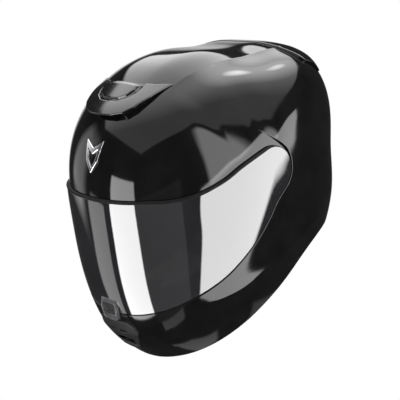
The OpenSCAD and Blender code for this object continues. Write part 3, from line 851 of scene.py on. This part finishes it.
# ---- Swept pieces ----
def creased(mesh, angle=35):
    """The mesh, with sharp edges where it bends by more than the angle in degrees."""
    mesh.set_sharp_from_angle(angle=math.radians(angle))
    return mesh


def sweep_mesh(name, path, outs, ups, section, closed=False):
    """A section of (out, up) points carried along a path. Its UVs run along and around it, in mm."""
    path, outs, ups, section = (np.asarray(v, float) for v in (path, outs, ups, section))
    n, m = len(path), len(section)
    points = path[:, None] + outs[:, None] * section[None, :, :1] + ups[:, None] * section[None, :, 1:]
    steps = n if closed else n - 1
    i, k = grid(np.arange(steps), np.arange(m))
    j, l = (i + 1) % n, (k + 1) % m
    faces = np.stack([i * m + k, j * m + k, j * m + l, i * m + l], 1).tolist()
    if not closed:
        faces += [list(range(m)), list(range((n - 1) * m, n * m))[::-1]]
    mesh = to_mesh(name, points.reshape(-1, 3), faces)
    run = np.concatenate([[0], np.cumsum(np.linalg.norm(np.diff(path, axis=0), axis=1))])
    girth = np.concatenate([[0], np.cumsum(np.linalg.norm(np.diff(section, axis=0), axis=1))])
    layer = mesh.uv_layers.new(name="UVMap")
    index = np.empty(len(mesh.loops), int)
    mesh.loops.foreach_get("vertex_index", index)
    layer.data.foreach_set("uv", np.stack([run[index // m], girth[index % m]], 1).astype(np.float32).ravel())
    bm = bmesh.new()
    bm.from_mesh(mesh)
    bmesh.ops.recalc_face_normals(bm, faces=bm.faces)
    bm.to_mesh(mesh)
    bm.free()
    return creased(mesh)


def edge_path(count=110):
    """The line along the middle of the shell's lower edge, all the way round."""
    d = (FLUSH - SHELL_T) / 2

    def reach(a):
        return (edge_z(a) - PIVOT_Z) / np.sin(np.radians(a))

    def find_end(a, b):
        for _ in range(24):
            m = (a + b) / 2
            a, b = (m, b) if reach(m) > rho(np.array([m]))[0] + d else (a, m)
        return (a + b) / 2
    front, back = find_end(-30, -70), find_end(-165, -110)
    angle = front + (back - front) * (1 - np.cos(np.pi * np.arange(count + 1) / count)) / 2
    s, n = np.minimum(1, reach(angle) / (rho(angle) + d)), squareness(angle)
    x = (HALF_W + d) * np.maximum(0, 1 - s**n) ** (1 / n)
    left = np.stack([x, -reach(angle) * np.cos(np.radians(angle)), edge_z(angle)], 1)
    left += relief(left)
    return np.concatenate([left, left[-2:0:-1] * [-1, 1, 1]])


path = edge_path()
along = np.roll(path, -1, 0) - np.roll(path, 1, 0)
out = unit(np.stack([-along[:, 1], along[:, 0], 0 * along[:, 0]], 1))
TRIM = [[-2.9, 3.1], [-3.1, 1.9], [-2.8, 0.8], [-2, 0.15], [-0.8, 0], [0.8, 0], [2, 0.15], [2.8, 0.8],
        [3.1, 1.9], [3.3, 3.0], [2.9, 3.9], [2.45, 3.2], [1.5, 3.1]]
upward = np.tile([0, 0, 1.0], (len(path), 1))
piece("edge_bead", sweep_mesh("edge_bead", path, out, upward, TRIM, True), "trim_rubber",
      replaces=["edge_trim"])

STRAP_Y = -12.0
STRAP = [[101.5, 39], [96, 30], [87, 21], [72, 14.5]]
STRAP_ENDS = {"left": [[54, 11.4], [44, 10.8], [36, 10.8]], "right": [[54, 12.8], [32, 12.6], [12, 12.6]]}


def strap_frame(side):
    """One half of the strap: points along it, and the directions across it and up from it."""
    sign = 1 if side == "left" else -1
    line = through(STRAP + STRAP_ENDS[side], 8)
    points = np.stack([sign * line[:, 0], np.full(len(line), STRAP_Y), line[:, 1]], 1)
    run = unit(np.gradient(points, axis=0))
    across = np.tile([0, 1.0, 0], (len(points), 1))
    return points, across, np.cross(run, across) * sign


# Webbing 22 mm wide and 2.2 mm thick, with a thicker band along each edge.
STRAP_SECTION = np.array([[-11, -0.5], [-10.5, -0.95], [-9, -1.1], [-7, -0.95],
                          [7, -0.95], [9, -1.1], [10.5, -0.95], [11, -0.5]])
STRAP_SECTION = np.concatenate([STRAP_SECTION, -STRAP_SECTION])
STITCH, STITCH_GAP, THREAD_R = 2.6, 1.2, 0.33


def stitches(name, lines):
    """Thread laid along lines of points, as separate stitches."""
    points, faces, around = [], [], np.arange(6) * math.pi / 3
    for line, normal in lines:
        line = np.asarray(line, float)
        run = np.concatenate([[0], np.cumsum(np.linalg.norm(np.diff(line, axis=0), axis=1))])
        for start in np.arange(0, run[-1] - STITCH, STITCH + STITCH_GAP):
            a, b = np.array([np.interp([start, start + STITCH], run, line[:, k]) for k in range(3)]).T
            up = unit(np.asarray(normal, float))
            across, first = unit(np.cross(b - a, up)), len(points)
            for t, r in ((0, 0.2), (0.2, 0.85), (0.5, 1), (0.8, 0.85), (1, 0.2)):
                centre, ring_r = a + (b - a) * t, THREAD_R * r
                points += [centre + ring_r * (across * math.cos(q) + up * math.sin(q)) for q in around]
            for ring in range(4):
                for k in range(6):
                    p = first + ring * 6
                    faces.append([p + k, p + (k + 1) % 6, p + 6 + (k + 1) % 6, p + 6 + k])
            faces += [list(range(first, first + 6))[::-1], list(range(first + 24, first + 30))]
    return piece(name, creased(to_mesh(name, points, faces), 60), "thread")


for side in ("left", "right"):
    points, across, up = strap_frame(side)
    up = up * (1 if up[-1, 2] > 0 else -1)
    name = "strap_webbing_" + side
    piece(name, sweep_mesh(name, points, across, up, STRAP_SECTION), "webbing", replaces=["strap_" + side])
    top = points + up * 1.05
    span = top[len(top) // 2: len(top) * 3 // 4]
    ends = [span[0], span[-1]]
    box = [span + across[0] * y for y in (-7.5, 7.5)]
    box += [[e - across[0] * 7.5, e + across[0] * 7.5] for e in ends]
    cross = [[ends[0] - across[0] * y, ends[1] + across[0] * y] for y in (7, -7)]
    stitches("strap_stitching_" + side, [(line, up[-1]) for line in box + cross])


# ---- Hard pieces whose CAD shape is right, with softened edges ----
def cad_mesh(node, name):
    """A copy of a CAD node's mesh, without its materials."""
    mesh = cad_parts[node].data.copy()
    mesh.name = name
    mesh.materials.clear()
    return mesh


def softened(node, name, slot, width=0.3, body="helmet"):
    mesh = cad_mesh(node, name)
    bm = bmesh.new()
    bm.from_mesh(mesh)
    bmesh.ops.remove_doubles(bm, verts=bm.verts, dist=1e-6)
    bmesh.ops.dissolve_limit(bm, angle_limit=math.radians(1), verts=bm.verts, edges=bm.edges)
    bm.to_mesh(mesh)
    bm.free()
    shade_smooth(mesh)
    obj = piece(name, mesh, slot, body, [node])
    bevel = obj.modifiers.new("edges", "BEVEL")
    bevel.width, bevel.segments = width * MM, 3
    bevel.limit_method, bevel.angle_limit = "ANGLE", math.radians(28)
    bevel.harden_normals = True
    return obj


for side in ("left", "right"):
    softened("visor_hub_" + side, "hub_ring_" + side, "matte_black", 0.2, "visor_set")
    softened("pivot_plate_" + side, "pivot_base_" + side, "matte_black", 0.2)
    softened("release_lever_" + side, "release_latch_" + side, "lever_red", 0.2, "release_" + side + "_body")
softened("pivot_screws", "pivot_screw_heads", "steel", 0.12)
softened("chin_vent_shutter", "chin_vent_flap", "matte_black", 0.35, "chin_vent_slide_body")
softened("rear_vent_mesh", "rear_vent_grille", "matte_black", 0.2)
softened("strap_anchors", "strap_anchor_plates", "steel", 0.4)
softened("buckle_base", "buckle_body", "matte_black", 0.45)
softened("buckle_lever", "buckle_release", "lever_red", 0.5, "buckle_lever_body")
softened("buckle_pin", "buckle_axle", "steel", 0.3)
softened("buckle_tongue", "buckle_strip", "steel", 0.3)

TOOTH = np.array([[0, 11.15], [1.9, 11.15], [1.9, 11.3], [1.5, 11.95], [1.1, 11.95]])
TEETH, TOOTH_PITCH = 9, 2.4
ridges, ridge_faces = [], []
for i in range(TEETH):
    first = len(ridges)
    for y in (STRAP_Y - 6.5, STRAP_Y + 6.5):
        ridges += [[x - 18 + i * TOOTH_PITCH, y, z] for x, z in TOOTH]
    near, far = list(range(first, first + 5)), list(range(first + 5, first + 10))
    ridge_faces += [[a, b, b + 5, a + 5] for a, b in zip(near, near[1:] + near[:1])] + [near[::-1], far]
piece("buckle_teeth", creased(to_mesh("buckle_teeth", ridges, ridge_faces), 20), "steel")


# ---- Padded pieces, swelled by a cloth simulation ----
VOXEL = 0.004


def applied(obj):
    """The object's mesh with its modifiers in it."""
    mesh = bpy.data.meshes.new_from_object(obj.evaluated_get(bpy.context.evaluated_depsgraph_get()))
    obj.modifiers.clear()
    obj.data = mesh


def vectors(items, name):
    """The vector of that name in each of a mesh's items."""
    v = np.empty(len(items) * 3)
    items.foreach_get(name, v)
    return v.reshape(-1, 3)


def from_metres(co):
    return co / MM - [0, PIVOT_Y, 0]


def fullness(q, angle, d):
    """1 where points about the pivot are on the skin at depth d, and less inside it, with its squareness."""
    n = squareness(angle)
    return (abs(q[:, 0]) / (HALF_W + d)) ** n + (np.hypot(q[:, 1], q[:, 2]) / (rho(angle) + d)) ** n, n


def held_inside(p, d):
    """Points moved in to the skin at depth d, where they are outside it."""
    centre = relief(p) + [0, 0, PIVOT_Z]
    q = p - centre
    size, n = fullness(q, np.degrees(np.arctan2(q[:, 2], -q[:, 1])), d)
    return q / np.maximum(size ** (1 / n), 1)[:, None] + centre


def soft_start(node, name):
    obj = add_object(name, cad_mesh(node, name))
    remesh = obj.modifiers.new("remesh", "REMESH")
    remesh.mode, remesh.voxel_size = "VOXEL", VOXEL
    applied(obj)
    shrink = obj.modifiers.new("shrink", "DISPLACE")
    shrink.mid_level, shrink.strength = 0.0, -0.0018
    relax = obj.modifiers.new("relax", "SMOOTH")
    relax.factor, relax.iterations = 0.5, 6
    applied(obj)
    return obj


def swell(pads, cap=3.2, frames=20):
    """Blows the pads up together, and limits how far a point moves, in mm."""
    rest = [vectors(obj.data.vertices, "co") for obj in pads]
    scene = bpy.context.scene
    for obj in pads:
        cloth = obj.modifiers.new("cloth", "CLOTH")
        cloth.settings.quality = 4
        cloth.settings.use_pressure = True
        cloth.settings.uniform_pressure_force = 4
        cloth.settings.effector_weights.gravity = 0
        cloth.point_cache.frame_start, cloth.point_cache.frame_end = 1, frames
    for i in range(1, frames + 1):
        scene.frame_set(i)
    for obj in pads:
        applied(obj)
    scene.frame_set(1)
    for obj, start in zip(pads, rest):
        move = vectors(obj.data.vertices, "co") - start
        length = np.linalg.norm(move, axis=1, keepdims=True)
        move *= np.minimum(1, cap * MM / np.maximum(length, 1e-9))
        obj.data.vertices.foreach_set("co", (start + move).ravel())
        obj.data.update()


def finish_pad(obj, node, depth, groove, floor=None, levels=2):
    """Keeps a pad in its space, and sews its channels: groove(p, n) is how far each point sinks, in mm."""
    smooth = obj.modifiers.new("smooth", "SMOOTH")
    smooth.factor, smooth.iterations = 0.5, 2
    divide = obj.modifiers.new("divide", "SUBSURF")
    divide.levels = divide.render_levels = levels
    applied(obj)
    mesh = obj.data
    p = held_inside(from_metres(vectors(mesh.vertices, "co")), depth)
    n = vectors(mesh.vertex_normals, "vector")
    p = p - n * groove(p, n)[:, None]
    if floor is not None:
        p[:, 2] = np.maximum(p[:, 2], floor)
    mesh.vertices.foreach_set("co", metres(p).ravel())
    mesh.update()
    shade_smooth(mesh)
    mesh.materials.append(MATERIALS["comfort_fabric"])
    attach(obj, "helmet")
    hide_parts(node)


def line_groove(value, width=1.5, depth=2.0):
    return depth * np.exp(-((value / width) ** 2))


CHEEK = through([[-34, -96], [-27, -111], [-12, -125], [0, -127], [60, -127], [84, -122], [98, -112],
                 [102, -92], [96, -72], [78, -64], [58, -56], [34, -36], [20, -24], [-12, -24], [-34, -42],
                 [-34, -96]], 3)[:-1]


def cheek_groove(p, n):
    flat = distance(from_side(p), CHEEK)
    inner = (abs(n[:, 0]) > 0.5) & (n[:, 0] * p[:, 0] < 0)
    middle = np.where(flat < -14, line_groove(-p[:, 1] - 22 - 0.25 * (p[:, 2] - 90)), 0)
    return np.where(inner, np.maximum(line_groove(flat + 13), middle), 0)


def crown_groove(p, n):
    inner = n[:, 2] < 0.1
    lines = np.minimum(abs(abs(p[:, 0]) - 26 - 0.1 * abs(p[:, 1])), abs(p[:, 1] - 5))
    return np.where(inner, line_groove(lines, 1.6, 2.2), 0)


def roll_groove(p, n):
    ahead = np.degrees(np.arctan2(p[:, 0], p[:, 1]))
    ribs = np.min([abs(ahead - a) for a in (-60, -36, -12, 12, 36, 60)], 0) * 1.4
    lines = np.maximum(line_groove(ribs, 1.5, 1.6), line_groove(p[:, 2] - 24, 1.4, 1.8))
    return np.where(p[:, 2] > 6, lines, 0)


PADS = [("crown_pad", "crown_cushion", FOAM_IN - 0.9, crown_groove, None),
        ("cheek_pad_left", "cheek_cushion_left", FOAM_IN - 0.9, cheek_groove, None),
        ("cheek_pad_right", "cheek_cushion_right", FOAM_IN - 0.9, cheek_groove, None),
        ("neck_roll", "neck_cushion", FOAM_OUT - 2.2, roll_groove, 0.0)]
pads = [soft_start(node, name) for node, name, *_ in PADS]
swell(pads)
for obj, (node, name, depth, groove, floor) in zip(pads, PADS):
    finish_pad(obj, node, depth, groove, floor)

# ---- The chin curtain: a sheet that hangs a little between its sewn front edge and its free rear edge ----
CURTAIN_Z, CURTAIN_R, CURTAIN_COLUMNS, CURTAIN_ROWS = 11.0, 74.0, 81, 11


def curtain_mesh():
    """Rays from a free inner arc out to the shell, with a ripple along the arc."""
    points, run = [], np.linspace(0, 60, 121)
    for a in np.radians(np.linspace(-64, 64, CURTAIN_COLUMNS)):
        ray = np.array([math.sin(a), -math.cos(a), 0])
        start = CURTAIN_R * ray + [0, -40, CURTAIN_Z]
        line = start + run[:, None] * ray
        angle = np.degrees(np.arctan2(CURTAIN_Z - PIVOT_Z, -line[:, 1]))
        size, _ = fullness(line - relief(line) - [0, 0, PIVOT_Z], angle, FOAM_OUT - 1.0)
        reach = np.interp(1.0, size, run)
        for t in np.linspace(0, 1, CURTAIN_ROWS):
            ripple = 0.7 * math.sin(a * 26) * (1 - t) ** 2 - 0.6 * math.sin(math.pi * t)
            points.append(start + reach * t * ray + [0, 0, ripple])
    i, k = grid(np.arange(CURTAIN_COLUMNS - 1), np.arange(CURTAIN_ROWS - 1))
    corner = i * CURTAIN_ROWS + k
    faces = corner[:, None] + [0, CURTAIN_ROWS, CURTAIN_ROWS + 1, 1]
    return creased(to_mesh("chin_curtain_cloth", points, faces), 80)


curtain = piece("chin_curtain_cloth", curtain_mesh(), "curtain_fabric", replaces=["chin_curtain"])
thick = curtain.modifiers.new("thickness", "SOLIDIFY")
thick.thickness, thick.offset = 0.0009, 0


# ---- Studio ----
AZIMUTH, ELEVATION, ROLL = 56, 29.55, -23.64
AIM, AWAY = (-0.9, -3.9, 105.7), 1.1


def toward(azimuth, elevation):
    """The way to a place on the sky: azimuth 0 is in front of the helmet, and 90 on its left."""
    a, e = math.radians(azimuth), math.radians(elevation)
    return Vector((math.sin(a) * math.cos(e), -math.cos(a) * math.cos(e), math.sin(e)))


def camera():
    back = toward(AZIMUTH, ELEVATION)
    right = (-back).cross(Vector((0, 0, 1))).normalized()
    up = right.cross(-back)
    c, s = math.cos(math.radians(ROLL)), math.sin(math.radians(ROLL))
    right, up = c * right + s * up, c * up - s * right
    data = bpy.data.cameras.new("camera")
    data.lens, data.sensor_width, data.clip_end = 85, 36, 50
    obj = add_object("camera", data)
    turn = Matrix((right, up, back)).transposed().to_4x4()
    turn.translation = Vector(AIM) * MM + back * AWAY
    obj.matrix_world = turn
    bpy.context.scene.camera = obj


def studio():
    """Soft boxes painted on the sky, which the camera itself sees as white."""
    world = bpy.data.worlds.new("studio")
    bpy.context.scene.world = world
    world.use_nodes = True
    sky = Nodes(world.node_tree)
    sky.tree.nodes.clear()
    ray = sky.node("ShaderNodeTexCoord").outputs["Generated"]

    def dot(v):
        return sky.node("ShaderNodeVectorMath", {0: ray, 1: v}, operation="DOT_PRODUCT").outputs["Value"]

    def panel(corners, strength, soft=0.012):
        """A soft box that fills a convex outline of (azimuth, elevation) corners."""
        points = [toward(*corner) for corner in corners]
        centre = sum(points, Vector()).normalized()
        light = strength
        for p, q in zip(points, points[1:] + points[:1]):
            n = p.cross(q).normalized()
            n = n if n.dot(centre) > 0 else -n
            light = sky.math("MULTIPLY", sky.span(dot(n), 0, 1, -soft, soft), light)
        return light

    def overhead(*corners):
        """Part of the overhead soft box, brightest behind the helmet."""
        return sky.math("MULTIPLY", panel([*corners, (0, 90)], 1.0), overhead_strength)

    def spot(azimuth, elevation, edge, full, strength):
        """A round glow, from where the cosine of the angle to its middle is edge."""
        return sky.span(dot(toward(azimuth, elevation)), 0, strength, edge, full)

    overhead_strength = sky.span(dot(toward(-150, 35)), 0.6, 2.6, 0.4, 0.97)
    lights = [
        panel([(-30, -25), (3, -25), (3, 22), (-30, 22)], 5.5),
        panel([(-54, -25), (-38, -25), (-38, 2), (-54, 2)], 0.8),
        panel([(3, -30), (48, -30), (60, 10), (3, 10)], 0.11),
        panel([(-84, -8), (-60, -8), (-62, 30), (-80, 30)], 0.9, 0.06),
        panel([(48, -40), (108, -39.5), (134, -34), (136, -7), (75, -7)], 4.4),
        panel([(84, -10), (117, -10), (112, 9), (101, 27), (87, 41)], 3.2, 0.03),
        panel([(120, -62), (180, -55), (238, -45), (262, -70), (180, -80)], 0.3),
        panel([(216, -44), (254, -44), (254, -4), (224, -4)], 0.6, 0.05),
        panel([(8, -31), (38, -31), (38, -38), (8, -38)], 0.7),
        panel([(-16, -62), (18, -68), (72, -75), (80, -84), (-30, -82)], 0.6, 0.02),
        overhead((-72, 38), (11, 45)),
        overhead((11, 45), (89, 46)),
        overhead((89, 46), (120, 3), (138, 14)),
        overhead((138, 14), (192, 15)),
        overhead((192, 15), (217, 7), (232, 4), (253, 34)),
        overhead((253, 34), (288, 38)),
        spot(177, 36, 0.92, 0.985, 2.0),
        spot(-179, 34, 0.99, 1.0, 7.0),
    ]
    total = 0.03
    for light in lights:
        total = sky.math("ADD", light, total)
    seen = sky.node("ShaderNodeLightPath").outputs["Is Camera Ray"]
    inputs = {"Color": (1, 1, 1, 1), "Strength": sky.math("MAXIMUM", total, seen)}
    glow = sky.node("ShaderNodeBackground", inputs)
    sky.node("ShaderNodeOutputWorld", {"Surface": glow.outputs[0]})
    bpy.context.scene.view_settings.view_transform = "Standard"


def white_floor(half=40, drop=0.001):
    mesh = bpy.data.meshes.new("floor")
    corners = [(-half, -half), (half, -half), (half, half), (-half, half)]
    mesh.from_pydata([(x, y, -drop) for x, y in corners], [], [(0, 1, 2, 3)])
    floor = add_object("floor", mesh)
    paper = bpy.data.materials.new("paper")
    paper.use_nodes = True
    nodes = Nodes(paper.node_tree)
    nodes.tree.nodes.clear()
    nodes.node("ShaderNodeOutputMaterial", {"Surface": nodes.node("ShaderNodeEmission").outputs[0]})
    mesh.materials.append(paper)
    floor.visible_glossy = floor.visible_diffuse = floor.visible_shadow = False


camera()
studio()
white_floor()
